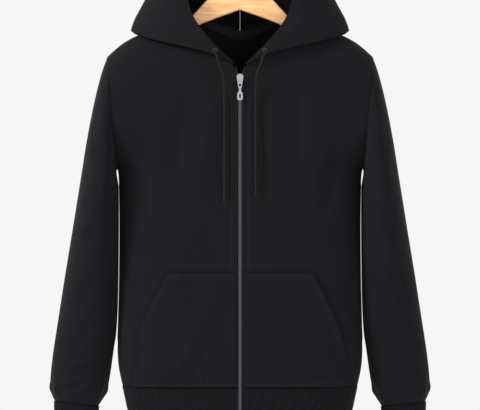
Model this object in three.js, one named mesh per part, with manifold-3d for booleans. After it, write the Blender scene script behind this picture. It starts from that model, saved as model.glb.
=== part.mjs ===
// Zip up hoodie on a wooden hanger, in millimetres, +Z up, with the front towards -Y.
// The origin is the inside top of the hanger's hook. Left and right are the wearer's: left is +X.
import * as THREE from 'three';
import { mergeVertices } from 'three/addons/utils/BufferGeometryUtils.js';
import Module from 'manifold-3d';

const wasm = await Module();
wasm.setup();

// Cloth walls and seams.
const FLEECE = 2.2;
const CASING_WALL = 4.2;
const RIB_WALL = 2.2;
const RIB_RAISE = 1.2;
const RIB_PITCH = 6.6;
const SEAM = 0.3;
const LAID_ON = 0.5;
const CURVE = 0.5523;

// Neck opening and shoulders of the body.
const NECK_WIDTH = 84;
const NECK_POINT_Z = -112.6;
const NECK_STAND = 3;
const NECK_CURVE = 0.8;
const NECK_COLUMNS = 6;
const SHOULDER_COLUMNS = 6;
const FRONT = { side: -1, neckDrop: 89, neckReach: 61, chest: 61, column: 'front' };
const BACK = { side: 1, neckDrop: 30, neckReach: 50, chest: 58, column: 'back' };

// Armhole: an upright oval in a plane that leans in a little towards the underarm.
const SHOULDER_POINT = new THREE.Vector3(223, 0, -183);
const UNDERARM = new THREE.Vector3(205.5, 0, -373);
const ARMHOLE_REACH = 60;
const ARMHOLE_CENTRE = SHOULDER_POINT.clone().add(UNDERARM).multiplyScalar(0.5);
const ARMHOLE_UP = SHOULDER_POINT.clone().sub(UNDERARM).normalize();
const ARMHOLE_OUT = new THREE.Vector3(ARMHOLE_UP.z, 0, -ARMHOLE_UP.x);
const ARMHOLE_HALF = SHOULDER_POINT.distanceTo(UNDERARM) / 2;

// Zip: half of its gap, and how its top opens into a narrow V.
const ZIP_HALF_GAP = 3.6;
const ZIP_OPENS_Z = -221;
const ZIP_TOP_Z = -202;
const ZIP_SPREAD = 6;
const HEM_BOTTOM_Z = -798;

const table = (columns, ...rows) => rows.map((row) =>
  Object.fromEntries(columns.split(' ').map((name, i) => [name, row[i]])));

// The shoulder seam, over the hanger's arm and round the end of it.
const SHOULDER = table('x z',
  [84, -112.6], [130, -130.5], [165, -144.2], [183, -151.5], [200, -161.5], [212, -171], [223, -183]);

// The body below the underarm: half its width, and how far front and back stand out at the middle.
const BODY = table('z width front back',
  [-381, 203.5, 61.5, 58],
  [-415, 202.5, 63, 58],
  [-455, 202, 65, 58.5],
  [-500, 202, 67, 59],
  [-545, 202.5, 70, 60],
  [-585, 203, 72, 61],
  [-620, 204, 74, 62],
  [-650, 204.8, 75, 63],
  [-680, 206, 75, 63.5],
  [-705, 204, 73, 63],
  [-723, 200, 69.5, 61.5],
  [-735.5, 197, 66, 59]);
const HEM = table('z width front back', [-735.8, 197, 66, 59], [-798, 183.5, 56, 51]);

// Sleeve rings from the armhole to the cuff: outer point, inner point, half depth and squareness.
const SLEEVE = table('outX outZ inX inZ depth power',
  [230.5, -201, 206.9, -374.6, 64, 2.05],
  [238, -228, 207.3, -378, 68, 2.15],
  [246, -262, 207.3, -384, 71.5, 2.3],
  [253.5, -300, 207, -393, 74, 2.4],
  [260.5, -339, 206.6, -406, 75, 2.4],
  [266, -376, 206.2, -424, 74.5, 2.4],
  [272.5, -416, 206, -448, 72.5, 2.35],
  [280, -462, 205.8, -482, 68.5, 2.3],
  [288, -511, 205.8, -523, 63, 2.25],
  [296, -558, 206, -566, 57, 2.2],
  [302.5, -601, 206.4, -607, 52, 2.2],
  [309, -642, 208.2, -647, 47.5, 2.2],
  [314.5, -677, 212, -681, 43.5, 2.2],
  [318, -706, 216.2, -710, 41, 2.2],
  [319, -730, 221, -735, 38.5, 2.2],
  [317.5, -748, 227.5, -754, 34, 2.1],
  [311.5, -761, 237.5, -769, 24, 2]);
const SLEEVE_POINTS = 20;
const GATHERS = 5;
const GATHER_RISE = 2.2;
const CUFF = table('outX outZ inX inZ depth',
  [311.5, -761, 237.5, -769, 24],
  [310, -826, 240, -831, 22.5]);

// Hood rows from the neck seam to the crown: opening edge, widest point and middle of the back,
// with how steeply the row falls from its widest point to the opening edge.
const HOOD = table('edgeX edgeY edgeZ wideX wideY wideZ backY backZ dip',
  [12.5, -63, -195.3, 86.5, 0, -106.2, 52.5, -136.6, 0.8],
  [18, -66.5, -192, 112, 0, -118, 64, -139, 0.85],
  [25, -69, -187.5, 150, -1, -132.4, 76, -143, 0.85],
  [33, -69.5, -179, 178, -2, -144.6, 85, -141, 0.8],
  [43, -67, -166.5, 185.5, 2, -138.5, 90, -130, 0.75],
  [55, -62, -150.5, 181, 8, -122, 92, -112, 0.65],
  [68, -54, -133, 171.5, 13, -104.5, 92.5, -90, 0.55],
  [81, -45, -112, 161, 18, -86, 92, -64, 0.45],
  [88.5, -34, -84, 149, 24, -60, 91, -38, 0.4],
  [88, -20, -54, 132, 31, -29, 90, -12, 0.36],
  [81, -4, -24, 110, 38, 4, 88.5, 14, 0.33],
  [66, 12, 6, 82, 46, 34, 87, 38, 0.3],
  [42, 24, 34, 48, 54, 57, 84.5, 59, 0.3],
  [0.15, 32, 50, 0.15, 58, 70, 80, 69, 0.3]);
const CASING_COLUMNS = 2;
const HOOD_BACK_COLUMNS = 6;

// Large folds: a line in the front view with its half width and depth, inwards.
const FRONT_FOLDS = table('x1 z1 x2 z2 width depth',
  [52, -560, 124, -636, 16, 2.4],
  [150, -420, 60, -500, 22, 2.2],
  [176, -500, 120, -560, 20, 2],
  [60, -700, 20, -640, 16, 1.8]);
const BACK_FOLDS = table('x1 z1 x2 z2 width depth',
  [-120, -300, -60, -520, 24, 2.6],
  [130, -320, 80, -560, 24, 2.6],
  [-150, -640, -40, -700, 20, 2.2]);

// Pocket: the top edge, and the opening that slants down to the side.
const POCKET_TOP_Z = -545;
const POCKET_IN = 6;
const POCKET_EDGE = table('z x', [-545, 121], [-586, 143], [-620, 158], [-663, 172], [-800, 174]);
const POCKET_COLUMNS = 8;
const POCKET_WALL = 2;
const POCKET_MOUTH = 1.7;

// Zip parts.
const TAPE = { near: 0.15, teeth: 3.1, far: 14, back: 4, front: 3, toothFace: 0.6 };
const SLIDER_TOP_Z = -213.4;
const SLIDER_BOTTOM_Z = -230.2;
const CHEST_FACE_Y = -61;
const PIVOT = new THREE.Vector3(0, -64.27, -227.6);
const TAB_THICK = 1.5;

// Hanger and hook.
const HANGER = { thick: 14, tall: 20, slope: Math.tan(THREE.MathUtils.degToRad(21.3)), half: 186 };
const HANGER_UNDER_Z = -102.5;
const HANGER_HUMP_Z = -63.8;
const HOOK_WIRE = 1.8;
const HOOK_INNER = 17;

// Drawstrings: the route on the left side from the eyelet's hole down. The left cord ends a little higher.
const CORD_RADIUS = 2.2;
const CORD_ROUTE = table('x y z',
  [41.42, -70.1, -174.25], [41.3, -72.6, -173.9], [41, -75.4, -176.4], [39.6, -76.6, -182], [36.6, -76.8, -191],
  [33, -76, -202],
  [29, -74, -213], [27, -71, -228],
  [26.2, -67.5, -250], [26, -65.6, -280], [26, -65.3, -315], [26, -66, -350], [26, -67, -385],
  [26.2, -68, -410], [26.4, -68.6, -427]);
const LEFT_CORD_LIFT = 11;
const CORD_LIFT_FROM = 5;

const COLOURS = { fleece: 0x17171b, rib: 0x151518, cord: 0x121214, tape: 0x1c1c20 };
const cloth = (colour) => new THREE.MeshStandardMaterial({ color: colour, roughness: 0.95, metalness: 0 });
const fleeceMaterial = cloth(COLOURS.fleece);
const ribMaterial = cloth(COLOURS.rib);
const cordMaterial = cloth(COLOURS.cord);
const tapeMaterial = cloth(COLOURS.tape);
const metal = new THREE.MeshStandardMaterial({ color: 0x9a9ca0, roughness: 0.3, metalness: 1 });
const darkMetal = new THREE.MeshStandardMaterial({ color: 0x2a2a2c, roughness: 0.4, metalness: 1 });
const wood = new THREE.MeshStandardMaterial({ color: 0xe8b97d, roughness: 0.35, metalness: 0 });

const v = (x, y, z) => new THREE.Vector3(x, y, z);
const flipX = (p) => v(-p.x, p.y, p.z);
const mix = THREE.MathUtils.lerp;

// One row worked out smoothly between the rows of a table, by the column called key.
function between(rows, key, at) {
  const down = rows[rows.length - 1][key] < rows[0][key] ? -1 : 1;
  let i = 0;
  while (i < rows.length - 2 && (at - rows[i + 1][key]) * down > 0) i += 1;
  const [a, b] = [rows[i], rows[i + 1]];
  const before = rows[Math.max(i - 1, 0)];
  const after = rows[Math.min(i + 2, rows.length - 1)];
  const h = b[key] - a[key];
  const t = THREE.MathUtils.clamp((at - a[key]) / h, 0, 1);
  const row = {};
  for (const name of Object.keys(a)) {
    const slopeA = (b[name] - before[name]) / (b[key] - before[key]);
    const slopeB = (after[name] - a[name]) / (after[key] - a[key]);
    const s = t * t * (3 - 2 * t);
    row[name] = mix(a[name], b[name], s) + h * slopeA * t * (1 - t) ** 2 - h * slopeB * t * t * (1 - t);
  }
  return row;
}

// Faces are turned to point out of the solid.
function facingOut(points, faces) {
  let volume = 0;
  for (let i = 0; i < faces.length; i += 3) {
    const [a, b, c] = [points[faces[i]], points[faces[i + 1]], points[faces[i + 2]]];
    volume += a.dot(b.clone().cross(c));
  }
  const turned = volume < 0 ? faces.slice().reverse() : faces;
  const geometry = new THREE.BufferGeometry();
  const numbers = points.flatMap((p) => [p.x, p.y, p.z]);
  geometry.setAttribute('position', new THREE.Float32BufferAttribute(numbers, 3));
  geometry.setIndex(turned);
  return geometry;
}

// A closed wall between an outer and an inner grid, with a rim along each open side.
function wall({ outer, inner }, round = false) {
  const rows = outer.length;
  const columns = outer[0].length;
  const spans = round ? columns : columns - 1;
  const points = [...outer.flat(), ...inner.flat()];
  const out = (i, j) => i * columns + (j % columns);
  const into = (i, j) => rows * columns + out(i, j);
  const faces = [];
  const quad = (a, b, c, d) => faces.push(a, b, c, a, c, d);
  for (let i = 0; i < rows - 1; i += 1) {
    for (let j = 0; j < spans; j += 1) {
      quad(out(i, j), out(i, j + 1), out(i + 1, j + 1), out(i + 1, j));
      quad(into(i, j), into(i + 1, j), into(i + 1, j + 1), into(i, j + 1));
    }
  }
  const last = rows - 1;
  for (let j = 0; j < spans; j += 1) {
    quad(out(0, j + 1), out(0, j), into(0, j), into(0, j + 1));
    quad(out(last, j), out(last, j + 1), into(last, j + 1), into(last, j));
  }
  if (!round) {
    const end = columns - 1;
    for (let i = 0; i < last; i += 1) {
      quad(out(i, 0), out(i + 1, 0), into(i + 1, 0), into(i, 0));
      quad(out(i + 1, end), out(i, end), into(i, end), into(i + 1, end));
    }
  }
  return facingOut(points, faces);
}

// Directions out of a grid of points. Adjust turns those at a seam into the seam's own plane.
function outwards(grid, sign, round, adjust) {
  const columns = grid[0].length;
  return grid.map((row, i) => row.map((p, j) => {
    const next = round ? row[(j + 1) % columns] : row[Math.min(j + 1, columns - 1)];
    const previous = round ? row[(j + columns - 1) % columns] : row[Math.max(j - 1, 0)];
    const below = grid[Math.min(i + 1, grid.length - 1)][j];
    const above = grid[Math.max(i - 1, 0)][j];
    const normal = next.clone().sub(previous).cross(below.clone().sub(above));
    normal.multiplyScalar(sign).normalize();
    if (adjust) adjust(normal, i, j);
    return normal.normalize();
  }));
}

const moved = (grid, normals, by) => grid.map((row, i) => row.map((p, j) =>
  p.clone().addScaledVector(normals[i][j], typeof by === 'number' ? by : by(i, j))));
const drop = (normal, plane) => normal.addScaledVector(plane, -normal.dot(plane));
const X = v(1, 0, 0);
const Y = v(0, 1, 0);
const Z = v(0, 0, 1);

// How much a fold moves the cloth in at a point of the front view.
function foldDepth(folds, x, z) {
  let depth = 0;
  for (const fold of folds) {
    const along = new THREE.Vector2(fold.x2 - fold.x1, fold.z2 - fold.z1);
    const at = new THREE.Vector2(x - fold.x1, z - fold.z1);
    const t = at.dot(along) / along.lengthSq();
    const off = at.clone().addScaledVector(along, -THREE.MathUtils.clamp(t, 0, 1)).length();
    depth += fold.depth * Math.exp(-((off / fold.width) ** 2));
  }
  return depth;
}

const zipOpenShare = (z) => THREE.MathUtils.clamp((z - ZIP_OPENS_Z) / (ZIP_TOP_Z - ZIP_OPENS_Z), 0, 1);
const zipSpread = (z) => ZIP_SPREAD * zipOpenShare(z);

// A quarter of a section, from the middle of the body to its edge.
function quarter(side, depth, edge, turn, middleZ) {
  const angle = THREE.MathUtils.degToRad(turn);
  const room = depth - Math.abs(edge.y);
  const reach = 0.9 * room / Math.sin(angle);
  return new THREE.CubicBezierCurve3(
    v(0, side * depth, middleZ),
    v(0.62 * edge.x, side * depth, mix(middleZ, edge.z, 1 / 3)),
    v(edge.x - reach * Math.cos(angle), edge.y + side * reach * Math.sin(angle), mix(middleZ, edge.z, 2 / 3)),
    edge);
}

const COLUMNS = NECK_COLUMNS + SHOULDER_COLUMNS;
const spacing = (j) => (j / COLUMNS) ** 1.2;
const YOKE_STEPS = [0, 0.035, 0.12, 0.27, 0.48, 0.73];
const ARMHOLE_TURNS = [3, 20, 40, 60, 78, 90];
const UNDERARM_ROW = YOKE_STEPS.length + ARMHOLE_TURNS.length - 1;

// The armhole reaches this much less far back than forward.
const ARMHOLE_BACK_LESS = 3;

// The left half of a front or back, rows down from the neck and shoulder to the hem seam.
function halfPanel({ side, neckDrop, neckReach, chest, column }) {
  const edgeY = side * SEAM / 2;
  const armholeRows = ARMHOLE_TURNS.map((turn, k) => {
    const a = THREE.MathUtils.degToRad(k === 0 ? 0 : turn);
    const edge = ARMHOLE_CENTRE.clone().addScaledVector(ARMHOLE_UP, -ARMHOLE_HALF * Math.sin(a));
    const reach = side > 0 ? ARMHOLE_REACH - ARMHOLE_BACK_LESS : ARMHOLE_REACH;
    edge.y = side * Math.max(reach * Math.cos(a), SEAM / 2);
    const middleZ = mix(ARMHOLE_CENTRE.z, UNDERARM.z, k / (ARMHOLE_TURNS.length - 1));
    const curve = quarter(side, chest, edge, turn, middleZ);
    return Array.from({ length: COLUMNS + 1 }, (_, j) => curve.getPoint(spacing(j)));
  });
  const seam = Array.from({ length: COLUMNS + 1 }, (_, j) => {
    const a = Math.min(j / NECK_COLUMNS, 1) * Math.PI / 2;
    const start = side < 0 ? ZIP_HALF_GAP + ZIP_SPREAD : 0;
    if (j <= NECK_COLUMNS) {
      return v(mix(start, NECK_WIDTH, Math.sin(a)), side * Math.max(neckReach * Math.cos(a), SEAM / 2),
        NECK_POINT_Z - neckDrop * (1 - Math.sin(a)) ** NECK_CURVE);
    }
    const x = mix(NECK_WIDTH, SHOULDER_POINT.x, (j - NECK_COLUMNS) / SHOULDER_COLUMNS);
    return v(x, edgeY, between(SHOULDER, 'x', x).z);
  });
  const yokeRows = YOKE_STEPS.map((step, i) => seam.map((top, j) => {
    const low = armholeRows[0][j];
    const flat = Math.sin(Math.min(j / NECK_COLUMNS, 1) * Math.PI / 2);
    const lead = mix(1 / 3, CURVE, flat);
    const column = new THREE.CubicBezierCurve3(top,
      v(mix(top.x, low.x, 1 / 3), mix(top.y, low.y, lead), mix(top.z, low.z, (1 - flat) / 3)),
      v(mix(top.x, low.x, 2 / 3), low.y, mix(low.z, top.z, CURVE)), low);
    const p = column.getPoint(step);
    if (i === 0 && j <= NECK_COLUMNS) p.z += NECK_STAND;
    return p;
  }));
  const lowerRows = BODY.map((row) => {
    const curve = quarter(side, row[column], v(row.width, edgeY, row.z), 90, row.z);
    return Array.from({ length: COLUMNS + 1 }, (_, j) => curve.getPoint(spacing(j)));
  });
  const rows = [...yokeRows, ...armholeRows, ...lowerRows];
  rows.forEach((row, i) => {
    const edge = row[COLUMNS];
    if (i <= UNDERARM_ROW) {
      edge.x = SHOULDER_POINT.x + (edge.z - SHOULDER_POINT.z) * ARMHOLE_UP.x / ARMHOLE_UP.z;
    }
    if (side < 0) row[0].x = ZIP_HALF_GAP + zipSpread(row[0].z);
  });
  return rows;
}

// Folds fade out towards the edges, so that seams keep their line.
function folded(rows, folds, side) {
  rows.forEach((row, i) => row.forEach((p, j) => {
    const fromEdge = Math.min(row.length - 1 - j, j, rows.length - 1 - i);
    const fade = THREE.MathUtils.clamp((fromEdge - 1) / 2, 0, 1);
    p.y -= side * fade * foldDepth(folds, p.x, p.z);
  }));
  return rows;
}

// Seams keep their walls in the seam's own plane, so that two pieces meet edge to edge.
function panelSeams(isFront) {
  return (normal, i, j, last, lastRow) => {
    const atArmhole = j === last && i <= UNDERARM_ROW;
    const atSide = j === last && i >= UNDERARM_ROW;
    const atShoulder = i === 0 && j >= NECK_COLUMNS;
    if (isFront && j === 0) drop(normal, X);
    if (i === 0 && j <= NECK_COLUMNS) drop(normal, Z);
    if (atShoulder || atSide) drop(normal, Y);
    if (atArmhole) drop(normal, ARMHOLE_OUT);
    if (i === lastRow) drop(normal, Z);
  };
}

const frontRows = folded(halfPanel(FRONT), FRONT_FOLDS, FRONT.side);
const frontSeams = panelSeams(true);
const frontOut = outwards(frontRows, -1, false,
  (n, i, j) => frontSeams(n, i, j, COLUMNS, frontRows.length - 1));
const frontGrids = { outer: frontRows, inner: moved(frontRows, frontOut, -FLEECE) };

const backHalf = halfPanel(BACK);
const backSeams = panelSeams(false);
const backHalfOut = outwards(backHalf, 1, false, (n, i, j) => {
  if (j === 0) drop(n, X);
  backSeams(n, i, j, COLUMNS, backHalf.length - 1);
});
const backRows = backHalf.map((row) => [...row.slice(1).reverse().map(flipX), ...row]);
const backOut = backHalfOut.map((row) => [...row.slice(1).reverse().map(flipX), ...row]);
folded(backRows, BACK_FOLDS, BACK.side);
const backGrids = { outer: backRows, inner: moved(backRows, backOut, -FLEECE) };

const mirrored = ({ outer, inner }) => ({
  outer: outer.map((row) => row.map(flipX)),
  inner: inner.map((row) => row.map(flipX)),
});

// A ring about the line from its outer to its inner point, squared off by its power.
function ring({ outX, outZ, inX, inZ, depth, power = 2 }, points, wave = () => 0) {
  const middle = v((outX + inX) / 2, 0, (outZ + inZ) / 2);
  const half = v((outX - inX) / 2, 0, (outZ - inZ) / 2);
  const squared = (t) => Math.sign(t) * Math.abs(t) ** (2 / power);
  return Array.from({ length: points }, (_, k) => {
    const a = 2 * Math.PI * k / points;
    const swell = 1 + wave(a) / depth;
    return middle.clone().addScaledVector(half, squared(Math.cos(a)) * swell)
      .add(v(0, -depth * squared(Math.sin(a)) * swell, 0));
  });
}

const armholeRing = {
  outX: SHOULDER_POINT.x, outZ: SHOULDER_POINT.z, inX: UNDERARM.x, inZ: UNDERARM.z, depth: ARMHOLE_REACH, power: 2,
};

// Which way a ring faces, along the tube.
function ringAxis({ outX, outZ, inX, inZ }) {
  return v(outZ - inZ, 0, inX - outX).normalize();
}

function sleeveGrids() {
  const gatherRow = SLEEVE.length - 2;
  const rings = [ring(armholeRing, SLEEVE_POINTS).map((p) => p.addScaledVector(ARMHOLE_OUT, SEAM)),
    ...SLEEVE.map((row, i) => ring(row, SLEEVE_POINTS, i >= gatherRow - 1 && i <= gatherRow
      ? (a) => GATHER_RISE * Math.cos(GATHERS * 2 * a) : undefined))];
  const lastAxis = ringAxis(SLEEVE[SLEEVE.length - 1]);
  const normals = outwards(rings, 1, true, (n, i) => {
    if (i === 0) drop(n, ARMHOLE_OUT);
    if (i === rings.length - 1) drop(n, lastAxis);
  });
  return { outer: rings, inner: moved(rings, normals, -FLEECE) };
}

// Rib: every other outer point is raised, over a plain inside.
function ribbed(rows, normals) {
  const raised = moved(rows, normals, (i, j) => (j % 2 === 0 ? RIB_RAISE : 0));
  return { outer: raised, inner: moved(rows, normals, -RIB_WALL) };
}

function cuffGrids() {
  const axis = ringAxis(CUFF[0]);
  const around = Math.PI * (37 + 24);
  const points = 2 * Math.round(around / RIB_PITCH);
  const rings = CUFF.map((row, i) => ring(row, points).map((p) => p.addScaledVector(axis, i === 0 ? SEAM : 0)));
  const normals = outwards(rings, 1, true, (n) => drop(n, axis));
  return ribbed(rings, normals);
}

function hemGrids() {
  const rows = HEM.map((row) => {
    const front = quarter(-1, row.front, v(row.width, 0, row.z), 90, row.z);
    const back = quarter(1, row.back, v(row.width, 0, row.z), 90, row.z);
    const ribs = Math.round((front.getLength() + back.getLength()) / RIB_PITCH) * 2;
    const frontCount = Math.round(ribs * front.getLength() / (front.getLength() + back.getLength()));
    return { front, back, frontCount, backCount: ribs - frontCount };
  });
  const { frontCount, backCount } = rows[0];
  const grid = rows.map(({ front, back }) => {
    const startAt = ZIP_HALF_GAP / front.getLength();
    const half = [
      ...Array.from({ length: frontCount }, (_, k) => front.getPointAt(mix(startAt, 1, k / frontCount))),
      ...Array.from({ length: backCount + 1 }, (_, k) => back.getPointAt(1 - k / backCount))];
    half[0].x = ZIP_HALF_GAP;
    return [...half, ...half.slice(0, -1).reverse().map(flipX)];
  });
  const last = grid[0].length - 1;
  const normals = outwards(grid, -1, false, (n, i, j) => {
    drop(n, Z);
    if (j === 0 || j === last) drop(n, X);
  });
  return ribbed(grid, normals);
}

// The hood's left half. Its first row stands on the neck edge of the front and the back.
function hoodGrids() {
  const lift = v(0, 0, SEAM);
  const neck = [
    ...frontRows[0].slice(0, NECK_COLUMNS),
    ...backHalf[0].slice(0, NECK_COLUMNS + 1).reverse()].map((p) => p.clone().add(lift));
  const neckInto = [
    ...frontOut[0].slice(0, NECK_COLUMNS),
    ...backHalfOut[0].slice(0, NECK_COLUMNS + 1).reverse()];
  const end = neck.length - 1;
  neck[end].x = SEAM / 2;
  const rows = [neck, ...HOOD.map((row) => neck.map((_, c) => {
    const forward = c <= NECK_COLUMNS;
    const a = (forward ? c / NECK_COLUMNS : (c - NECK_COLUMNS) / HOOD_BACK_COLUMNS) * Math.PI / 2;
    if (forward) {
      return v(mix(row.edgeX, row.wideX, Math.sin(a)), mix(row.wideY, row.edgeY, Math.cos(a)),
        mix(row.wideZ, row.edgeZ, (1 - Math.sin(a)) ** row.dip));
    }
    return v(mix(SEAM / 2, row.wideX, Math.cos(a)), mix(row.wideY, row.backY, Math.sin(a)),
      mix(row.wideZ, row.backZ, (1 - Math.cos(a)) ** row.dip));
  }))];
  const crown = rows.length - 1;
  const normals = outwards(rows, 1, false, (n, i, j) => {
    if (i === 0) n.copy(neckInto[j]);
    if (j === end || i === crown) drop(n, X);
  });
  const thick = (i, j) => -(j <= CASING_COLUMNS && i > 1 ? CASING_WALL : FLEECE);
  return { outer: rows, inner: moved(rows, normals, thick) };
}

// Tape over the back neck seam, laid on the inside of the back.
function neckTapeGrids() {
  const middle = COLUMNS;
  const slice = (grid) => grid.slice(0, 3).map((row) =>
    row.slice(middle - NECK_COLUMNS + 1, middle + NECK_COLUMNS));
  const outer = moved(slice(backGrids.inner), slice(backOut), -SEAM);
  return { outer, inner: moved(outer, slice(backOut), -1) };
}

// The point of a row at a given x, along the straight runs between its points.
function onRow(row, normals, x) {
  let j = 0;
  while (j < row.length - 2 && row[j + 1].x < x) j += 1;
  const t = (x - row[j].x) / (row[j + 1].x - row[j].x);
  return { point: row[j].clone().lerp(row[j + 1], t), out: normals[j].clone().lerp(normals[j + 1], t).normalize() };
}

function pocketGrids() {
  const first = frontRows.findIndex((row) => row[0].z <= POCKET_TOP_Z + 1);
  const rows = frontRows.slice(first);
  const normals = frontOut.slice(first);
  const laid = rows.map((row, i) => {
    const far = between(POCKET_EDGE, 'z', row[0].z).x;
    return Array.from({ length: POCKET_COLUMNS + 1 }, (_, k) =>
      onRow(row, normals[i], mix(POCKET_IN, far, k / POCKET_COLUMNS)));
  });
  const mouth = (k) => POCKET_MOUTH * (k / POCKET_COLUMNS) ** 2;
  const at = (by) => laid.map((row) => row.map(({ point, out }, k) =>
    point.clone().addScaledVector(out, by + mouth(k))));
  return { outer: at(LAID_ON + POCKET_WALL), inner: at(LAID_ON) };
}

// A solid through sections that all have the same number of points, with flat ends.
function loft(sections, flat) {
  const count = sections[0].length;
  const faces = [];
  for (let i = 0; i < sections.length - 1; i += 1) {
    for (let j = 0; j < count; j += 1) {
      const k = (j + 1) % count;
      faces.push(i * count + j, i * count + k, (i + 1) * count + k);
      faces.push(i * count + j, (i + 1) * count + k, (i + 1) * count + j);
    }
  }
  const end = (sections.length - 1) * count;
  const clockwise = THREE.ShapeUtils.isClockWise(flat);
  for (const triangle of THREE.ShapeUtils.triangulateShape(flat, [])) {
    const same = THREE.ShapeUtils.isClockWise(triangle.map((k) => flat[k])) === clockwise;
    const [a, b, c] = same ? triangle : triangle.slice().reverse();
    faces.push(c, b, a, a + end, b + end, c + end);
  }
  return facingOut(sections.flat(), faces);
}

// Half of the zip: its tape behind the front edge, with the row of teeth as one bar along it.
function zipHalf() {
  const section = [
    [TAPE.near, TAPE.back], [TAPE.far, TAPE.back], [TAPE.far, TAPE.front],
    [TAPE.teeth, TAPE.front], [TAPE.teeth, TAPE.toothFace], [TAPE.near, TAPE.toothFace]];
  const spine = [
    { y: CHEST_FACE_Y, z: ZIP_TOP_Z },
    { y: CHEST_FACE_Y, z: ZIP_OPENS_Z },
    ...frontRows.map((row) => ({ y: row[0].y, z: row[0].z })).filter((p) => p.z < ARMHOLE_CENTRE.z),
    { y: -HEM[0].front, z: HEM[0].z },
    { y: -HEM[1].front - 0.6, z: HEM_BOTTOM_Z + 11 }];
  const sections = spine.map(({ y, z }) => section.map(([x, into]) => {
    const open = zipSpread(z);
    const isFar = x === TAPE.far;
    return v(x + (isFar ? 0 : open), y + into + (into > TAPE.toothFace ? 0.2 * open : 0), z);
  }));
  return loft(sections, section.map(([x, into]) => new THREE.Vector2(x, into)));
}

function solidOf(geometry) {
  geometry.deleteAttribute('normal');
  geometry.deleteAttribute('uv');
  const merged = mergeVertices(geometry, 1e-4);
  return new wasm.Manifold(new wasm.Mesh({
    numProp: 3,
    vertProperties: new Float32Array(merged.attributes.position.array),
    triVerts: new Uint32Array(merged.index.array),
  }));
}

function geometryOf(solid) {
  const mesh = solid.getMesh();
  const geometry = new THREE.BufferGeometry();
  geometry.setAttribute('position', new THREE.Float32BufferAttribute(mesh.vertProperties, 3));
  geometry.setIndex(new THREE.Uint32BufferAttribute(mesh.triVerts, 1));
  return geometry;
}

// A flat outline in the front view, made thick from its back face towards the front.
function plate(points, backY, thick, holes = []) {
  const shape = new THREE.Shape(points.map(([x, z]) => new THREE.Vector2(x, z)));
  for (const hole of holes) {
    shape.holes.push(new THREE.Path(hole.map(([x, z]) => new THREE.Vector2(x, z))));
  }
  const geometry = new THREE.ExtrudeGeometry(shape, { depth: thick, bevelEnabled: false });
  geometry.rotateX(Math.PI / 2);
  geometry.translate(0, backY, 0);
  return geometry;
}

const box = (x, y, z, at) => new THREE.BoxGeometry(x, y, z).translate(at.x, at.y, at.z);

function sliderGeometry() {
  const outline = [[-3.2, SLIDER_TOP_Z], [-5.5, SLIDER_TOP_Z - 2.8], [-5.2, -221], [-4, -228.8],
    [-2.6, SLIDER_BOTTOM_Z], [2.6, SLIDER_BOTTOM_Z], [4, -228.8], [5.2, -221],
    [5.5, SLIDER_TOP_Z - 2.8], [3.2, SLIDER_TOP_Z]];
  const frontPlate = plate(outline, CHEST_FACE_Y - 0.35, 1.6);
  const backPlate = plate(outline, CHEST_FACE_Y + 6.2, 1.3);
  const post = box(1.4, 7, 2.4, v(0, CHEST_FACE_Y + 2.3, -215.8));
  const bridge = [[-2.05, -220.5], [-4.4, -220.5], [-5.9, -222.6], [-5.9, -229], [-5, -230.1], [-1.9, -230.1],
    [-1.9, -228.9], [-4.6, -228.9], [-4.6, -222.6], [-3.9, -222], [-2.05, -222]];
  const arch = new THREE.Shape(bridge.map(([y, z]) => new THREE.Vector2(y, z)));
  const archGeometry = new THREE.ExtrudeGeometry(arch, { depth: 2.2, bevelEnabled: false });
  archGeometry.applyMatrix4(new THREE.Matrix4().makeBasis(v(0, 1, 0), v(0, 0, 1), v(1, 0, 0)));
  archGeometry.translate(-1.1, CHEST_FACE_Y + 0.1, 0);
  return geometryOf(solidOf(frontPlate).add(solidOf(backPlate)).add(solidOf(post)).add(solidOf(archGeometry)));
}

function tabGeometry() {
  const outline = [[-3.4, -226.85], [-3.4, -234.6], [-1.7, -236.4], [-1.7, -242], [-4.5, -245.4], [-4.7, -254.4],
    [-3.2, -257], [3.2, -257], [4.7, -254.4], [4.5, -245.4], [1.7, -242], [1.7, -236.4], [3.4, -234.6],
    [3.4, -226.85]];
  const eye = [[-1.9, -228.35], [1.9, -228.35], [1.9, -233.9], [-1.9, -233.9]];
  const slot = [[-1.5, -246.2], [1.5, -246.2], [1.5, -254], [-1.5, -254]];
  return plate(outline, PIVOT.y + TAB_THICK / 2, TAB_THICK, [eye, slot]);
}

// An eyelet's rim, turned to face out of the casing.
function eyelet(at, out) {
  const profile = [[2.6, 0], [4.6, 0], [4.4, 1], [2.8, 1], [2.6, 0]].map(([r, y]) => new THREE.Vector2(r, y));
  const geometry = new THREE.LatheGeometry(profile, 16);
  geometry.applyQuaternion(new THREE.Quaternion().setFromUnitVectors(Y, out));
  geometry.translate(at.x, at.y, at.z);
  return geometry;
}

function tubeAlong(points, radius, sides, steps) {
  const circle = new THREE.Shape();
  circle.absarc(0, 0, radius, 0, 2 * Math.PI);
  const path = new THREE.CatmullRomCurve3(points);
  return new THREE.ExtrudeGeometry(circle, {
    steps, extrudePath: path, curveSegments: sides / 2, bevelEnabled: false,
  });
}

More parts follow.
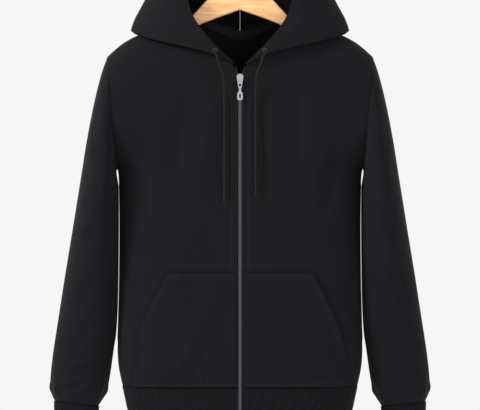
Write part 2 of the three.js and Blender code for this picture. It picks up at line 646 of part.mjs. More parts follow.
function hangerGeometry() {
  const { slope, half, tall, thick } = HANGER;
  const under = (x) => HANGER_UNDER_Z - slope * Math.abs(x);
  const over = (x) => under(x) + tall;
  const right = [[half, under(half) + 5], [half - 2, over(half) - 5], [half - 8, over(half - 8) - 1],
    [120, over(120)], [92, over(92) - 0.4], [82, over(82) - 1.4], [56, -88], [46, -80], [34, -72.5],
    [18, -66], [8, HANGER_HUMP_Z]];
  const left = right.map(([x, z]) => [-x, z]).reverse();
  const bottomRight = [[40, under(40)], [half - 8, under(half - 8) - 0.5]];
  const bottomLeft = [[-half + 8, under(half - 8) - 0.5], [-40, under(40)]];
  const outline = [[0, under(0) - 1.5], ...bottomRight, ...right, ...left, ...bottomLeft];
  const shape = new THREE.Shape(outline.map(([x, z]) => new THREE.Vector2(x, z)));
  const edge = 3;
  const geometry = new THREE.ExtrudeGeometry(shape, {
    depth: thick - 2 * edge, bevelEnabled: true, bevelThickness: edge, bevelSize: edge, bevelOffset: -edge,
    bevelSegments: 2,
  });
  geometry.rotateX(Math.PI / 2);
  geometry.translate(0, thick / 2 - edge, 0);
  return geometry;
}

function hookGeometry() {
  const radius = HOOK_INNER + HOOK_WIRE;
  const centreZ = -HOOK_INNER;
  const start = THREE.MathUtils.degToRad(-115);
  const sweep = THREE.MathUtils.degToRad(-235);
  const arc = Array.from({ length: 15 }, (_, k) => {
    const a = start + sweep * k / 14;
    return v(radius * Math.cos(a), 0, centreZ + radius * Math.sin(a));
  });
  const stem = [v(0, 0, HANGER_HUMP_Z + SEAM), v(0, 0, -55), v(0, 0, -46), v(-1.6, 0, -39.5)];
  return tubeAlong([...stem, ...arc], HOOK_WIRE, 10, 34);
}

function cordGeometry(side, lift) {
  const below = CORD_ROUTE.length - 1 - CORD_LIFT_FROM;
  const points = CORD_ROUTE.map(({ x, y, z }, k) =>
    v(side * x, y, z + lift * Math.max(0, k - CORD_LIFT_FROM) / below));
  return tubeAlong(points, CORD_RADIUS, 8, 60);
}

const group = new THREE.Group();
function place(name, geometry, material) {
  const mesh = new THREE.Mesh(geometry, material);
  mesh.name = name;
  group.add(mesh);
}

const sleeve = sleeveGrids();
const cuff = cuffGrids();
const hood = hoodGrids();
const pocket = pocketGrids();
place('front_left', wall(frontGrids), fleeceMaterial);
place('front_right', wall(mirrored(frontGrids)), fleeceMaterial);
place('back', wall(backGrids), fleeceMaterial);
place('sleeve_left', wall(sleeve, true), fleeceMaterial);
place('sleeve_right', wall(mirrored(sleeve), true), fleeceMaterial);
place('cuff_left', wall(cuff, true), ribMaterial);
place('cuff_right', wall(mirrored(cuff), true), ribMaterial);
place('hem_rib', wall(hemGrids()), ribMaterial);
place('hood_left', wall(hood), fleeceMaterial);
place('hood_right', wall(mirrored(hood)), fleeceMaterial);
place('neck_tape', wall(neckTapeGrids()), tapeMaterial);
place('pocket_left', wall(pocket), fleeceMaterial);
place('pocket_right', wall(mirrored(pocket)), fleeceMaterial);

const zipLeft = zipHalf();
const zipRight = zipHalf().scale(-1, 1, 1);
zipRight.setIndex(Array.from(zipRight.index.array).reverse());
place('zip_left', zipLeft, tapeMaterial);
place('zip_right', zipRight, tapeMaterial);
place('zip_box', box(6.4, 3.6, 10.4, v(0, -HEM[1].front + 1.7, HEM_BOTTOM_Z + 5.4)), metal);
place('zip_slider', sliderGeometry(), metal);
place('pull_tab', tabGeometry(), metal);

const EYELET_AT = v(41.5, -69, -174.5);
const EYELET_OUT = v(-0.05, -0.98, 0.18).normalize();
place('eyelet_left', eyelet(EYELET_AT, EYELET_OUT), darkMetal);
place('eyelet_right', eyelet(flipX(EYELET_AT), flipX(EYELET_OUT)), darkMetal);
place('drawstring_left', cordGeometry(1, LEFT_CORD_LIFT), cordMaterial);
place('drawstring_right', cordGeometry(-1, 0), cordMaterial);
place('hanger', hangerGeometry(), wood);
place('hanger_hook', hookGeometry(), metal);

export default group;
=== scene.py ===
# %% [markdown]
# # A black zip hoodie on a wooden hanger
# The hoodie hangs by the wire hook of a plain hanger, seen straight from the front.
# The measured model gives every piece its place. Here each piece gets its fine form: cloth with
# creases, ribs, stitches, zip teeth, cords and real finishes. All lengths are in metres.

# %% Start from the measured model
import math

import bmesh
import bpy
import numpy as np
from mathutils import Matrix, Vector
from mathutils.bvhtree import BVHTree


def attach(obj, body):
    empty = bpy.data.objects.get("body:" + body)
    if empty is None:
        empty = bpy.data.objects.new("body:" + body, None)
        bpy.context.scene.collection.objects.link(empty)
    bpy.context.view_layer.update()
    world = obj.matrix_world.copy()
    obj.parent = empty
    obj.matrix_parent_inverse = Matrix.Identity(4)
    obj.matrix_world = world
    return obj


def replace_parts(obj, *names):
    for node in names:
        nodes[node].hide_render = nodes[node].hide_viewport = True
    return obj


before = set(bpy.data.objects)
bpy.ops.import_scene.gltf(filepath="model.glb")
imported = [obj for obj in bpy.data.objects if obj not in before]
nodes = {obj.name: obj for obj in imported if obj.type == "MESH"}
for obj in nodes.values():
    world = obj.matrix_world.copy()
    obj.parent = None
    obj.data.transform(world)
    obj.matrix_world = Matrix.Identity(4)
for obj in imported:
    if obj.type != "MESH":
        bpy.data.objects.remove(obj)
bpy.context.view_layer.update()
print("pieces in the measured model:", len(nodes))

# %% [markdown]
# ## Camera
# The photo is taken square to the chest. A long lens far away keeps the two sleeves the same size
# as the body, as they are in the photo. The picture is 480 by 410, and 0.806 m wide at the hanger.

# %% Camera
DISTANCE = 8.0
PICTURE_WIDTH = 0.8064
PICTURE_MIDDLE_Z = -0.4318

bpy.ops.object.camera_add(location=(0, -DISTANCE, PICTURE_MIDDLE_Z), rotation=(math.pi / 2, 0, 0))
camera = bpy.context.object
camera.name = "camera"
camera.data.sensor_width = 36
camera.data.lens = 36 * DISTANCE / PICTURE_WIDTH
camera.data.clip_end = 50
bpy.context.scene.camera = camera
print("lens:", round(camera.data.lens, 1), "mm")

# %% [markdown]
# ## Finishes
# Brushed cotton is nearly black, has no shine, and carries a faint pale nap at its edges, which is
# the sheen. Base colours are written as they look on a screen and turned into light values by one
# function. The small patterns are bumps from object coordinates, so they stay on the piece.


# %% Helpers for materials
def srgb(code):
    """A colour as seen on a screen, turned into the light values that a shader takes."""
    parts = [int(code[k:k + 2], 16) / 255 for k in (1, 3, 5)]
    return [p / 12.92 if p <= 0.04045 else ((p + 0.055) / 1.055) ** 2.4 for p in parts] + [1.0]


def finish(name, code, roughness, metallic=0.0, specular=0.5, sheen=0.0):
    """A material with one shader, its plain values set on the shader itself."""
    material = bpy.data.materials.new(name)
    material.use_nodes = True
    shader = material.node_tree.nodes["Principled BSDF"]
    shader.inputs["Base Color"].default_value = srgb(code)
    shader.inputs["Roughness"].default_value = roughness
    shader.inputs["Metallic"].default_value = metallic
    shader.inputs["Specular IOR Level"].default_value = specular
    shader.inputs["Sheen Weight"].default_value = sheen
    shader.inputs["Sheen Roughness"].default_value = 0.55
    shader.inputs["Sheen Tint"].default_value = srgb("#8C8C96")
    return material


def add(material, kind, **values):
    """One more node, with its settings and plain inputs given by name."""
    node = material.node_tree.nodes.new(kind)
    for key, value in values.items():
        if key in node.inputs:
            node.inputs[key].default_value = value
        else:
            setattr(node, key, value)
    return node


def bump(material, height, distance, strength=1.0, under=None):
    """Raises the surface by a height pattern, over another bump if one is given."""
    links = material.node_tree.links
    node = add(material, "ShaderNodeBump", Distance=distance, Strength=strength)
    links.new(height, node.inputs["Height"])
    if under:
        links.new(under, node.inputs["Normal"])
    shader = material.node_tree.nodes["Principled BSDF"]
    links.new(node.outputs["Normal"], shader.inputs["Normal"])
    return node.outputs["Normal"]


def noise(material, scale, detail=3.0, stretch=(1, 1, 1)):
    """A soft grain in the object's own coordinates, with its size set by scale."""
    links = material.node_tree.links
    place = add(material, "ShaderNodeTexCoord")
    sized = add(material, "ShaderNodeMapping", Scale=stretch)
    grain = add(material, "ShaderNodeTexNoise", Scale=scale, Detail=detail)
    links.new(place.outputs["Object"], sized.inputs["Vector"])
    links.new(sized.outputs["Vector"], grain.inputs["Vector"])
    return grain.outputs["Fac"]


# %% Cloth finishes
# Brushed-back cotton fleece: dark, fully matt, with a short nap.
fleece = finish("brushed cotton fleece", "#0F0F12", 0.95, specular=0.12, sheen=0.035)
soft = bump(fleece, noise(fleece, 55, 2), 0.0022, 0.55)
bump(fleece, noise(fleece, 900, 4), 0.0006, 0.6, soft)

# Rib knit of the hem and cuffs: ridges run up and down, 4 mm apart, in an attribute made below.
RIB_PITCH = 0.0042
rib = finish("cotton rib knit", "#0D0D10", 0.95, specular=0.12, sheen=0.03)
around = add(rib, "ShaderNodeAttribute", attribute_name="around")
turns = add(rib, "ShaderNodeMath", operation="MULTIPLY")
turns.inputs[1].default_value = 2 * math.pi / RIB_PITCH
wave = add(rib, "ShaderNodeMath", operation="SINE")
rib.node_tree.links.new(around.outputs["Fac"], turns.inputs[0])
rib.node_tree.links.new(turns.outputs["Value"], wave.inputs[0])
ridges = bump(rib, wave.outputs["Value"], 0.0011, 0.9)
bump(rib, noise(rib, 700, 3), 0.0004, 0.7, ridges)

# Herringbone tape of the zip and neck: flatter and a little lighter than the fleece.
tape = finish("woven cotton tape", "#141417", 0.85, specular=0.2, sheen=0.03)
bump(tape, noise(tape, 1500, 2, (1, 1, 0.4)), 0.0003, 0.8)

# Round braided cord, waxy black cotton.
braid = finish("braided cotton cord", "#0A0A0C", 0.8, specular=0.2, sheen=0.02)
bump(braid, noise(braid, 900, 2, (1, 1, 0.45)), 0.0006, 0.9)

# Sewing thread, painted one shade lighter than the cloth: the lighter colour is a painted highlight for the
# light it catches.
thread = finish("polyester thread", "#17171A", 0.6, specular=0.3)

# %% Hard finishes
# Plated zinc of the slider and pull tab, softly worn.
plated = finish("nickel plated zinc", "#B4B6B9", 0.3, metallic=1.0)
bump(plated, noise(plated, 400, 2), 0.0001, 0.4)

# Zip teeth: dull nickel.
teeth_metal = finish("dull nickel", "#77787C", 0.42, metallic=0.85)

# Lacquered eyelets.
lacquer = finish("black lacquered brass", "#1B1B1D", 0.35, specular=0.5)

# Polished spring wire of the hook.
wire = finish("polished steel wire", "#C9CACC", 0.18, metallic=1.0)

# Varnished beech: long pale grain along the bar.
beech = finish("varnished beech", "#E3B078", 0.42, specular=0.45)
grain = noise(beech, 14, 5, (1.2, 9, 16))
ramp = add(beech, "ShaderNodeValToRGB")
ramp.color_ramp.elements[0].position = 0.35
ramp.color_ramp.elements[0].color = srgb("#D69C62")
ramp.color_ramp.elements[1].position = 0.68
ramp.color_ramp.elements[1].color = srgb("#F0C595")
beech.node_tree.links.new(grain, ramp.inputs["Fac"])
shader = beech.node_tree.nodes["Principled BSDF"]
beech.node_tree.links.new(ramp.outputs["Color"], shader.inputs["Base Color"])
print("finishes:", len(bpy.data.materials))

# %% [markdown]
# ## Drawstrings
# Each cord comes out of its eyelet, turns down over the hood's edge and hangs on the chest beside
# the zip. It is a curve with a round section, so it keeps its real length and width.

# %% Drawstrings
CORD_RADIUS = 0.0022
CORD_ROUTE = [(41.42, -70.1, -174.25), (41.3, -72.6, -173.9), (41, -75.4, -176.4), (39.6, -76.6, -182),
              (36.6, -76.8, -191), (33, -76, -202), (29, -74, -213), (27, -71, -228), (26.2, -67.5, -250),
              (26, -65.6, -280), (26, -65.3, -315), (26, -66, -350), (26, -67, -385), (26.2, -68, -410),
              (26.4, -68.6, -427)]
LIFT_FROM = 5
LEFT_LIFT = 11


def hang_cord(name, side, lift):
    """One drawstring as a smooth curve through its route, in metres."""
    curve = bpy.data.curves.new(name, "CURVE")
    curve.dimensions = "3D"
    curve.bevel_depth = CORD_RADIUS
    curve.bevel_resolution = 4
    curve.use_fill_caps = True
    line = curve.splines.new("BEZIER")
    line.bezier_points.add(len(CORD_ROUTE) - 1)
    last = len(CORD_ROUTE) - 1
    for k, (x, y, z) in enumerate(CORD_ROUTE):
        up = lift * max(0, k - LIFT_FROM) / (last - LIFT_FROM)
        point = line.bezier_points[k]
        point.co = (side * x / 1000, y / 1000, (z + up) / 1000)
        point.handle_left_type = point.handle_right_type = "AUTO"
    piece = bpy.data.objects.new(name, curve)
    bpy.context.collection.objects.link(piece)
    piece.data.materials.append(braid)
    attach(piece, "garment")
    length = sum((Vector(a) - Vector(b)).length for a, b in zip(CORD_ROUTE, CORD_ROUTE[1:])) / 1000
    length -= lift / 1000
    print(name, "is", round(length, 3), "m long")
    return piece


cord_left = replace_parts(hang_cord("cord_left", 1, LEFT_LIFT), "drawstring_left")
cord_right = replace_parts(hang_cord("cord_right", -1, 0), "drawstring_right")

# %% [markdown]
# ## Creases
# The folds are listed one by one, not made by a pattern. Each one is a short line drawn on the cloth as
# seen from the front or the back, with its own width and depth. Depth below zero is a dent. The line is
# dropped onto the cloth with a ray, and every piece of cloth near it moves the same way, so the
# seams between neighbours stay closed.

# %% Where the cloth lies
CLOTH = ["front_left", "front_right", "back", "sleeve_left", "sleeve_right", "cuff_left", "cuff_right",
         "hem_rib", "hood_left", "hood_right", "pocket_left", "pocket_right", "zip_left", "zip_right"]


def tree_of(names):
    """The named pieces as one surface that a ray can hit."""
    points, faces = [], []
    for name in names:
        mesh = nodes[name].data
        start = len(points)
        points += [v.co.copy() for v in mesh.vertices]
        faces += [[start + k for k in face.vertices] for face in mesh.polygons]
    return BVHTree.FromPolygons(points, faces)


cloth_tree = tree_of(CLOTH)
RAY_START = 0.5
LOOKS = {"front": Vector((0, -1, 0)), "back": Vector((0, 1, 0))}


def drop(x, z, side):
    """The point on the cloth behind a spot of the front view, or of the back view."""
    out = LOOKS[side]
    return cloth_tree.ray_cast(Vector((x, 0, z)) + out * RAY_START, -out)[0]


# %% The creases, one line each: side, width, depth, then points x, z in millimetres
CREASES = [
    # Chest and belly, pulling from the shoulders and the zip.
    ("front", 9, -2.6, (22, -262), (34, -330), (38, -410)),
    ("front", 12, 2.2, (52, -250), (64, -330), (66, -430)),
    ("front", 10, -2.8, (96, -236), (104, -300), (98, -372)),
    ("front", 15, 2.4, (128, -262), (134, -350), (126, -440)),
    ("front", 9, -3.0, (168, -330), (152, -372), (128, -402)),
    ("front", 8, -2.2, (170, -368), (150, -412), (140, -452)),
    ("front", 9, -2.4, (-24, -280), (-30, -352), (-26, -440)),
    ("front", 13, 2.3, (-48, -246), (-58, -322), (-70, -420)),
    ("front", 10, -2.6, (-92, -240), (-96, -318), (-108, -396)),
    ("front", 14, 2.2, (-126, -270), (-140, -352), (-132, -462)),
    ("front", 9, -3.2, (-170, -322), (-150, -362), (-120, -398)),
    ("front", 8, -2.2, (-172, -380), (-156, -428), (-150, -470)),
    ("front", 12, -2.4, (70, -450), (50, -496), (24, -534)),
    ("front", 12, -2.2, (-64, -470), (-48, -505), (-20, -548)),
    ("front", 14, 1.8, (110, -480), (96, -522), (92, -560)),
    ("front", 15, 1.8, (-118, -480), (-104, -520), (-98, -566)),
    # Pockets: a soft fold across each, and a hollow low by the zip.
    ("front", 11, 3.2, (50, -648), (88, -684), (122, -720)),
    ("front", 9, -2.6, (36, -662), (68, -694), (96, -722)),
    ("front", 10, -2.4, (24, -715), (38, -722), (52, -728)),
    ("front", 12, 2.6, (-60, -640), (-92, -682), (-116, -718)),
    ("front", 9, -2.2, (-40, -660), (-70, -700), (-84, -724)),
    ("front", 9, -2.0, (-22, -600), (-30, -640), (-26, -690)),
    ("front", 9, -2.0, (24, -590), (30, -630), (22, -676)),
    # Outside the pockets the cloth bags over the rib.
    ("front", 9, -3.0, (150, -640), (164, -684), (176, -722)),
    ("front", 9, 2.4, (176, -600), (184, -652), (188, -700)),
    ("front", 9, -3.0, (-150, -636), (-166, -690), (-178, -724)),
    ("front", 10, 2.4, (-178, -590), (-186, -650), (-188, -704)),
    # Gathers above the hem rib.
    ("front", 5, -1.8, (116, -708), (118, -733)),
    ("front", 5, 1.6, (104, -712), (105, -733)),
    ("front", 5, -1.6, (66, -716), (65, -733)),
    ("front", 5, -1.8, (-106, -710), (-108, -733)),
    ("front", 5, 1.6, (-134, -708), (-135, -733)),
    ("front", 5, -1.6, (-58, -714), (-57, -733)),
    # Left sleeve of the wearer.
    ("front", 9, -3.0, (232, -262), (246, -300), (240, -352)),
    ("front", 8, 2.6, (214, -300), (226, -356), (228, -410)),
    ("front", 9, -3.4, (250, -360), (262, -392), (284, -416)),
    ("front", 8, 2.6, (232, -410), (256, -436), (286, -452)),
    ("front", 8, -3.4, (236, -452), (262, -478), (294, -490)),
    ("front", 9, 2.6, (240, -500), (262, -522), (296, -536)),
    ("front", 8, -3.2, (246, -548), (272, -566), (302, -574)),
    ("front", 8, 2.4, (248, -590), (278, -606), (306, -612)),
    ("front", 7, -3.2, (250, -632), (278, -652), (310, -660)),
    ("front", 7, 2.6, (248, -676), (276, -690), (308, -698)),
    ("front", 6, -3.0, (246, -712), (276, -726), (306, -730)),
    ("front", 6, 2.4, (242, -742), (268, -750), (300, -752)),
    # Right sleeve of the wearer.
    ("front", 9, -3.0, (-230, -256), (-244, -306), (-236, -364)),
    ("front", 8, 2.6, (-212, -306), (-222, -350), (-226, -420)),
    ("front", 9, -3.2, (-246, -372), (-264, -398), (-282, -430)),
    ("front", 8, 2.4, (-230, -424), (-252, -444), (-282, -468)),
    ("front", 9, -3.4, (-238, -470), (-262, -488), (-292, -514)),
    ("front", 8, 2.6, (-242, -520), (-266, -534), (-298, -552)),
    ("front", 8, -3.2, (-244, -560), (-272, -584), (-304, -590)),
    ("front", 8, 2.4, (-250, -612), (-276, -622), (-306, -634)),
    ("front", 7, -3.2, (-248, -646), (-276, -664), (-310, -676)),
    ("front", 7, 2.6, (-246, -688), (-272, -700), (-306, -706)),
    ("front", 6, -3.0, (-246, -722), (-272, -732), (-306, -742)),
    # Hood: the lower fold rolls over the shoulders and the crown slumps a little.
    ("front", 8, -2.4, (78, -112), (112, -92), (142, -66)),
    ("front", 9, 2.4, (60, -142), (92, -128), (128, -106)),
    ("front", 8, -2.2, (86, -60), (100, -22), (96, 16)),
    ("front", 10, 2.2, (118, -60), (126, -30), (120, 4)),
    ("front", 8, -2.6, (-76, -116), (-108, -98), (-138, -72)),
    ("front", 9, 2.4, (-58, -146), (-90, -130), (-130, -102)),
    ("front", 8, -2.2, (-84, -50), (-98, -14), (-92, 22)),
    ("front", 10, 2.2, (-120, -66), (-130, -36), (-122, -2)),
    # Back of the body.
    ("back", 12, -3.2, (30, -210), (52, -300), (48, -400)),
    ("back", 13, 2.8, (92, -230), (104, -330), (96, -440)),
    ("back", 11, -3.0, (168, -318), (140, -372), (104, -412)),
    ("back", 12, -3.0, (-36, -220), (-46, -320), (-40, -430)),
    ("back", 14, 2.8, (-100, -236), (-112, -322), (-104, -450)),
    ("back", 11, -3.2, (-170, -330), (-138, -376), (-96, -424)),
    ("back", 14, 2.4, (10, -420), (16, -520), (6, -620)),
    ("back", 11, -2.8, (70, -480), (84, -570), (80, -680)),
    ("back", 11, -2.8, (-66, -500), (-80, -590), (-72, -700)),
    ("back", 12, 2.6, (130, -520), (144, -610), (140, -700)),
    ("back", 12, 2.6, (-132, -500), (-146, -600), (-138, -706)),
    ("back", 5, -1.8, (100, -706), (101, -733)),
    ("back", 5, 1.6, (40, -710), (41, -733)),
    ("back", 5, -1.8, (-44, -708), (-45, -733)),
    ("back", 5, 1.6, (-118, -708), (-119, -733)),
    # Back of the sleeves.
    ("back", 9, -3.2, (236, -270), (250, -320), (246, -376)),
    ("back", 8, 2.6, (234, -400), (258, -430), (286, -440)),
    ("back", 9, -3.4, (238, -456), (262, -486), (292, -498)),
    ("back", 8, 2.6, (244, -528), (268, -548), (298, -556)),
    ("back", 8, -3.2, (248, -590), (274, -614), (304, -620)),
    ("back", 7, 2.4, (248, -652), (276, -668), (306, -674)),
    ("back", 7, -3.0, (246, -704), (274, -720), (304, -724)),
    ("back", 9, -3.2, (-234, -276), (-248, -326), (-242, -384)),
    ("back", 8, 2.6, (-232, -408), (-256, -440), (-284, -452)),
    ("back", 9, -3.4, (-238, -478), (-264, -500), (-292, -516)),
    ("back", 8, 2.6, (-242, -544), (-268, -560), (-298, -576)),
    ("back", 8, -3.2, (-248, -604), (-274, -624), (-304, -640)),
    ("back", 7, 2.4, (-248, -664), (-276, -680), (-306, -690)),
    ("back", 7, -3.0, (-246, -716), (-272, -730), (-304, -736)),
    # Back of the hood.
    ("back", 10, -3.0, (30, 20), (52, -30), (60, -90)),
    ("back", 12, 2.6, (84, 10), (104, -40), (98, -96)),
    ("back", 10, -3.0, (-34, 16), (-56, -34), (-50, -100)),
    ("back", 12, 2.6, (-88, 6), (-110, -46), (-104, -100)),
]


def crease_lines():
    """Every crease as points on the cloth, with its direction, width and depth in metres."""
    lines = []
    for side, width, depth, *points in CREASES:
        found = [drop(x / 1000, z / 1000, side) for x, z in points]
        found = [p for p in found if p is not None]
        if len(found) > 1:
            lines.append((np.array(found), np.array(LOOKS[side]), width / 1000, depth / 1000))
    return lines


LINES = crease_lines()
print("creases on the cloth:", len(LINES), "of", len(CREASES))


# %% How a crease moves the cloth
def crease_shift(points):
    """How far each point moves, for an array of points in metres."""
    shift = np.zeros_like(points)
    for line, out, width, depth in LINES:
        best = np.full(len(points), np.inf)
        along = np.zeros(len(points))
        steps = np.linalg.norm(np.diff(line, axis=0), axis=1)
        whole = steps.sum()
        done = 0.0
        for start, end, step in zip(line, line[1:], steps):
            way = (end - start) / step
            t = np.clip((points - start) @ way, 0, step)
            gap = np.linalg.norm(points - start - t[:, None] * way, axis=1)
            near = gap < best
            best = np.where(near, gap, best)
            along = np.where(near, (done + t) / whole, along)
            done += step
        ends = np.clip(4 * along * (1 - along), 0, 1) ** 0.6
        shape = np.exp(-(best / width) ** 2) * ends
        shift += (depth * shape)[:, None] * out
    return shift

# %% [markdown]
# ## Sleeves against the sides
# The arms hang close beside the body. The body's side bulges a little behind the sleeve's inner fold,
# and the fold lies a little in front of the body, which narrows the gap between them. A small sideways
# move near the fold does this, and the two never touch.

# %% How the sides lean
LEAN = 0.0042
LEAN_TOP = (-0.372, -0.400)
LEAN_LOW = (-0.655, -0.690)
LEAN_Y, LEAN_DEPTH, LEAN_WIDTH = 0.017, 0.011, 0.012
FOLD_X, SIDE_X = 0.206, 0.203


def side_shift(points, part):
    """The sideways move of the body's side, or of a sleeve's inner fold, in metres."""
    x, y, z = points.T
    start = np.clip((LEAN_TOP[0] - z) / (LEAN_TOP[0] - LEAN_TOP[1]), 0, 1)
    end = np.clip((z - LEAN_LOW[1]) / (LEAN_LOW[0] - LEAN_LOW[1]), 0, 1)
    if part == "sleeve":
        here = np.exp(-((y + LEAN_Y) / LEAN_DEPTH) ** 2) * np.exp(-((np.abs(x) - FOLD_X) / LEAN_WIDTH) ** 2)
        return -np.sign(x) * LEAN * here * start * end
    here = np.exp(-((y - LEAN_Y) / LEAN_DEPTH) ** 2) * np.exp(-((np.abs(x) - SIDE_X) / LEAN_WIDTH) ** 2)
    return np.sign(x) * LEAN * here * start * end

# %% [markdown]
# ## Cloth pieces
# Each sewn piece is a closed shell as thin as the cloth. It starts from the measured piece, whose
# corners and rims stay sharp, is divided until it is smooth, and then takes the creases.

# %% Make the cloth
def smooth_copy(name, levels):
    """A fine copy of a measured piece: joined points, quads, kept rims, smoothed."""
    mesh = nodes[name].data.copy()
    mesh.name = name + "_cloth"
    work = bmesh.new()
    work.from_mesh(mesh)
    bmesh.ops.remove_doubles(work, verts=work.verts, dist=2e-5)
    bmesh.ops.join_triangles(work, faces=work.faces, angle_face_threshold=math.radians(40),
                             angle_shape_threshold=math.radians(60))
    crease = work.edges.layers.float.get("crease_edge") or work.edges.layers.float.new("crease_edge")
    for edge in work.edges:
        if edge.is_manifold and edge.calc_face_angle() > math.radians(50):
            edge[crease] = 1.0
    work.to_mesh(mesh)
    work.free()
    piece = bpy.data.objects.new(mesh.name, mesh)
    bpy.context.collection.objects.link(piece)
    bpy.ops.object.select_all(action="DESELECT")
    bpy.context.view_layer.objects.active = piece
    piece.select_set(True)
    divide = piece.modifiers.new("smooth", "SUBSURF")
    divide.levels = divide.render_levels = levels
    bpy.ops.object.modifier_apply(modifier=divide.name)
    return piece


def points_of(piece):
    flat = np.zeros(len(piece.data.vertices) * 3)
    piece.data.vertices.foreach_get("co", flat)
    return flat.reshape(-1, 3)


def set_points(piece, points):
    piece.data.vertices.foreach_set("co", points.ravel())
    piece.data.update()


def dress(piece, name, material):
    """Finish one cloth piece: its material, its shading and what it stands for."""
    piece.data.materials.clear()
    piece.data.materials.append(material)
    bpy.ops.object.select_all(action="DESELECT")
    bpy.context.view_layer.objects.active = piece
    piece.select_set(True)
    bpy.ops.object.shade_smooth_by_angle(angle=math.radians(50))
    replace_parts(piece, name)
    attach(piece, "garment")
    print(name, "has", len(piece.data.polygons), "faces")


SHEETS = {
    "front": ((0.26, 0.66), 0.134), "back": ((0.52, 0.63), 0.275), "sleeve": ((0.40, 0.60), 0.155),
    "hood": ((0.27, 0.36), 0.07), "pocket": ((0.175, 0.20), 0.0295),
}
for name in ["front_left", "front_right", "back", "sleeve_left", "sleeve_right", "hood_left",
             "hood_right", "pocket_left", "pocket_right"]:
    piece = smooth_copy(name, 3)
    points = points_of(piece)
    moved = points + crease_shift(points)
    part = name.split("_")[0]
    if part in ("sleeve", "front", "back"):
        moved[:, 0] += side_shift(points, part)
    set_points(piece, moved)
    flat, area = SHEETS[name.split("_")[0]]
    dress(piece, name, fleece)

# %% [markdown]
# ## Rib knit
# Hem and cuffs are knitted in vertical ribs. The ribs are counted round the piece: every point gets
# its distance along the rib's lower edge, and the material turns that distance into ridges.

# %% Ribs
EDGE_BAND = 0.012
WEDGES = 180


def measure_round(piece, middle, stretch):
    """Store each point's distance round the piece, read from the angle about its middle."""
    points = points_of(piece)
    angle = np.arctan2((points[:, 1] - middle[1]) * stretch, points[:, 0] - middle[0])
    low = points[:, 2] < points[:, 2].min() + EDGE_BAND
    order = np.argsort(angle[low])
    ring = points[low][order][:, :2]
    angles = angle[low][order]
    bins = np.linspace(-math.pi, math.pi, WEDGES + 1)
    places, at = [], []
    for a, b in zip(bins, bins[1:]):
        inside = (angles >= a) & (angles < b)
        if inside.any():
            places.append(ring[inside].mean(axis=0))
            at.append((a + b) / 2)
    far = np.concatenate([[0], np.cumsum(np.linalg.norm(np.diff(places, axis=0), axis=1))])
    store = piece.data.attributes.new("around", "FLOAT", "POINT")
    store.data.foreach_set("value", np.interp(angle, at, far).astype(np.float32))


for name, flat, area in [("hem_rib", (0.99, 0.0625), 0.0615), ("cuff_left", (0.19, 0.067), 0.0127),
                         ("cuff_right", (0.19, 0.067), 0.0127)]:
    piece = smooth_copy(name, 3)
    points = points_of(piece)
    set_points(piece, points + crease_shift(points))
    middle = (points.max(axis=0) + points.min(axis=0)) / 2
    measure_round(piece, middle, 3.0 if name == "hem_rib" else 1.4)
    dress(piece, name, rib)

# %% [markdown]
# ## Zip and neck tape
# The tape lies behind the front edges. Each half of the chain is a row of small metal teeth on the
# tape's cord. The halves meet below the slider and part above it.

# %% Tapes
for name in ["zip_left", "zip_right", "neck_tape"]:
    piece = smooth_copy(name, 1)
    points = points_of(piece)
    set_points(piece, points + crease_shift(points))
    if name == "neck_tape":
        dress(piece, name, tape)
    else:
        piece.data.materials.clear()
        piece.data.materials.append(tape)
        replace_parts(piece, name)
        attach(piece, "garment")

# %% [markdown]
# ## Zip teeth
# The metal teeth are pressed on the tape's edge every 2.4 mm. Left and right teeth sit half a step
# apart, so that they lock. Each is a small block, dropped on its tape with a ray from the front.

# %% Teeth
TOOTH_STEP = 0.0024
CHAIN_TOP = -0.2335
CHAIN_LOW = -0.787
TOOTH_MIDDLE = 0.0014
TOOTH_PROUD = 0.0003
TOOTH_SIZE = (0.0013, 0.0026, 0.0012)


# A block is this much smaller at its outer face.
OUTER_TAPER = 0.75


def blocks(name, places, size, material):
    """One mesh of equal blocks; each place is a middle, a way along and a way out."""
    corners = [(a, b, c) for a in (-0.5, 0.5) for b in (-0.5, 0.5) for c in (-0.5, 0.5)]
    sides = [(0, 1, 3, 2), (4, 6, 7, 5), (0, 4, 5, 1), (2, 3, 7, 6), (0, 2, 6, 4), (1, 5, 7, 3)]
    points, faces = [], []
    for middle, along, out in places:
        across = along.cross(out).normalized()
        start = len(points)
        for a, b, c in corners:
            taper = OUTER_TAPER if c > 0 else 1.0
            points.append(middle + along * (a * size[0] * taper) + across * (b * size[1] * taper)
                          + out * (c * size[2]))
        faces += [[start + k for k in side] for side in sides]
    mesh = bpy.data.meshes.new(name)
    mesh.from_pydata(points, [], faces)
    piece = bpy.data.objects.new(name, mesh)
    bpy.context.collection.objects.link(piece)
    mesh.materials.append(material)
    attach(piece, "garment")
    print(name, "has", len(places), "blocks")
    return piece


def creased(point):
    """A point on the measured cloth, moved as the creases move it."""
    return point + Vector(crease_shift(np.array([point]))[0])


zip_tree = tree_of(["zip_left", "zip_right"])
FRONT = Vector((0, -1, 0))
for side, name in ((1, "teeth_left"), (-1, "teeth_right")):
    places = []
    for k in range(int((CHAIN_TOP - CHAIN_LOW) / TOOTH_STEP)):
        z = CHAIN_TOP - (k + (0.5 if side > 0 else 0)) * TOOTH_STEP
        hit = zip_tree.ray_cast(Vector((side * TOOTH_MIDDLE, -RAY_START, z)), Vector((0, 1, 0)))[0]
        if hit:
            places.append((creased(hit) + FRONT * TOOTH_PROUD, Vector((0, 0, 1)), FRONT))
    blocks(name, places, TOOTH_SIZE, teeth_metal)

# %% [markdown]
# ## Stitching
# The hem, the zip edges, the back neck, the pocket mouths and the hood casing are topstitched, in rows of
# short stitches 3.4 mm apart. A row is drawn as a line in the front or back view and dropped on the cloth,
# and each stitch is a small raised block of thread.

# %% Stitches
STITCH = 0.0034
STITCH_SIZE = (0.0026, 0.0007, 0.0006)
PROBE = 0.001
TORN = 0.003


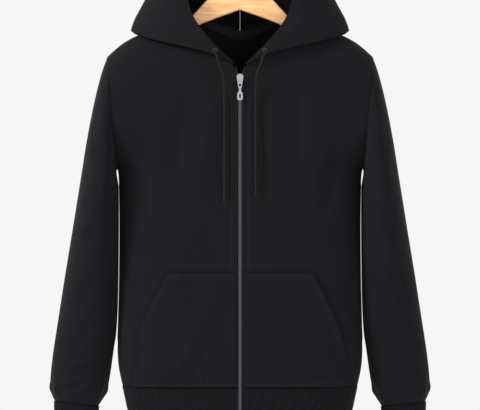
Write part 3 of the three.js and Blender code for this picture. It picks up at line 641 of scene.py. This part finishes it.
def stitch_places(points, side):
    """Where each stitch of a row lies: its middle, its way along and its way out."""
    line = [Vector((x / 1000, 0, z / 1000)) for x, z in points]
    places = []
    for start, end in zip(line, line[1:]):
        count = max(1, int((end - start).length / STITCH))
        for k in range(count):
            spot = start.lerp(end, (k + 0.5) / count)
            hit = drop(spot.x, spot.z, side)
            further = drop(*(spot + (end - start).normalized() * PROBE).xz, side)
            if hit and further and (further - hit).length < TORN:
                places.append((creased(hit), (further - hit).normalized(), LOOKS[side]))
    return places


ROWS = [
    # Hem seam, two rows above the rib.
    ("front", (-188, -728), (-100, -730), (-16, -731)),
    ("front", (-188, -732), (-100, -733.4), (-16, -733.6)),
    ("front", (16, -731), (100, -730), (188, -728)),
    ("front", (16, -733.6), (100, -733.4), (188, -732)),
    ("back", (-188, -728), (0, -730), (188, -728)),
    ("back", (-188, -732), (0, -733.4), (188, -732)),
    # Zip edges.
    ("front", (14, -250), (14, -540)), ("front", (-14, -250), (-14, -540)),
    # The neck seam at the back.
    ("back", (-60, -152), (0, -160), (60, -152)),
]
places = []
for side, *points in ROWS:
    places += stitch_places(points, side)
for side in (1, -1):
    # Pocket mouth, two rows, top edge and the bartacks at its ends.
    for inset in (4, 9):
        mouth = [(121 - inset, -548), (143.5 - inset, -586), (166 - inset, -637), (172.5 - inset, -664)]
        places += stitch_places([(side * x, z) for x, z in mouth], "front")
    for inset in (4, 9):
        places += stitch_places([(side * 14, -546 - inset), (side * 112, -546 - inset)], "front")
    for x in range(100, 120, 2):
        places += stitch_places([(side * x, -549), (side * x, -552.4)], "front")
    # Hood casing, about 25 mm in from the opening.
    casing = [(120, 40), (111, -10), (108, -60), (98, -100), (84, -132), (70, -152)]
    places += stitch_places([(side * x, z) for x, z in casing], "front")
blocks("topstitching", places, STITCH_SIZE, thread)

# %% [markdown]
# ## Metal and wood
# The slider, the pull tab, the retaining box, the eyelets, the hook and the hanger already have
# their form in the measured model, so they stay as they are and only take their finishes.

# %% Hard pieces
for name, material in [("zip_box", plated), ("zip_slider", plated), ("pull_tab", plated),
                       ("eyelet_left", lacquer), ("eyelet_right", lacquer), ("hanger_hook", wire),
                       ("hanger", beech)]:
    nodes[name].data.materials.clear()
    nodes[name].data.materials.append(material)
print("hard pieces finished, the last is", name)

# %% [markdown]
# ## Floor and light
# A pale paper floor lies well below the cuffs, and the room is white. One soft lamp stands high on
# the left, so that each fold has a light and a dark side. A weaker one fills the shadows from the
# right, and one behind separates the dark cloth from the room.

# %% Floor and light
bpy.ops.mesh.primitive_plane_add(size=8, location=(0, 0, -1.05))
floor = bpy.context.object
floor.name = "floor"
floor.data.materials.append(finish("white paper", "#F4F4F4", 0.9, specular=0.1))


def area_light(name, place, size, watts):
    bpy.ops.object.light_add(type="AREA", location=place)
    lamp = bpy.context.object
    lamp.name = name
    lamp.data.size = size
    lamp.data.energy = watts
    aim = Vector((0, 0, -0.4)) - Vector(place)
    lamp.rotation_euler = aim.to_track_quat("-Z", "Y").to_euler()


area_light("key light", (-2.6, -1.3, 1.3), 0.9, 110)
area_light("fill light", (1.8, -2.4, 0.2), 1.6, 25)
area_light("back light", (0, 2.4, 1.6), 2.0, 40)
world = bpy.data.worlds.new("studio")
bpy.context.scene.world = world
world.use_nodes = True
world.node_tree.nodes["Background"].inputs["Color"].default_value = (1, 1, 1, 1)
world.node_tree.nodes["Background"].inputs["Strength"].default_value = 0.92
bpy.context.scene.view_settings.view_transform = "Standard"
